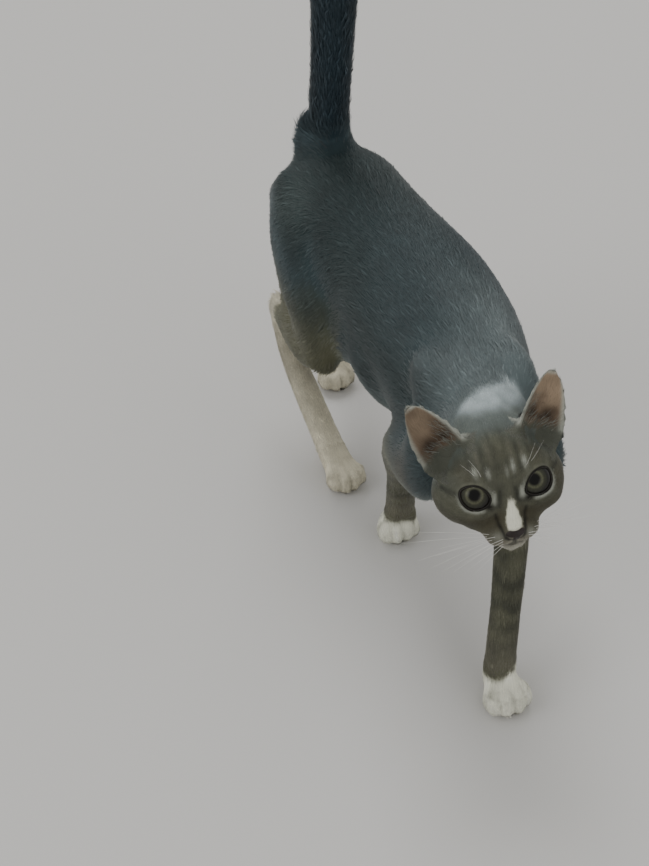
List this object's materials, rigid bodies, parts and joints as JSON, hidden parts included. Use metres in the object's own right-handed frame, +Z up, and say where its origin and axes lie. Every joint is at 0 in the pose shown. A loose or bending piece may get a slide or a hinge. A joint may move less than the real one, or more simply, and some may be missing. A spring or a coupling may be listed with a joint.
{
  "type": "cat model",
  "caption": "Life-size still model of a slim young cat walking with its head lowered, looking up, and its tail held straight up.",
  "frame": {"origin": "middle of the whole cat's bounding box, on the floor it stands on", "axes": "+Z up, the cat faces -Y, its left side is +X"},
  "size_m": [0.134, 0.3794, 0.5016],
  "materials": {
    "grey_coat": "short blue-grey fur with faint darker tabby shading",
    "dark_coat": "short dark slate fur",
    "white_coat": "short white fur",
    "ear_skin": "thin skin under sparse fine hair",
    "eye": "wet, grey-green iris with a round dark pupil",
    "nose_leather": "fine pebbled skin, slightly damp"
  },
  "bodies": {
    "root": {"head": "grey_coat", "neck": "grey_coat", "chest": "grey_coat", "midriff": "grey_coat", "rump": "grey_coat", "shoulder_right": "grey_coat", "shoulder_left": "grey_coat", "forearm_right": "grey_coat", "forearm_left": "grey_coat", "thigh_right": "grey_coat", "thigh_left": "grey_coat", "shank_right": "grey_coat", "shank_left": "grey_coat", "tail_root": "dark_coat", "tail_middle": "dark_coat", "tail_upper": "dark_coat", "tail_tip": "dark_coat", "fore_paw_right": "white_coat", "fore_paw_left": "white_coat", "hind_foot_right": "white_coat", "hind_foot_left": "white_coat", "hind_paw_right": "white_coat", "hind_paw_left": "white_coat", "ear_right": "ear_skin", "ear_left": "ear_skin", "eye_right": "eye", "eye_left": "eye", "nose": "nose_leather"}
  },
  "joints": []
}
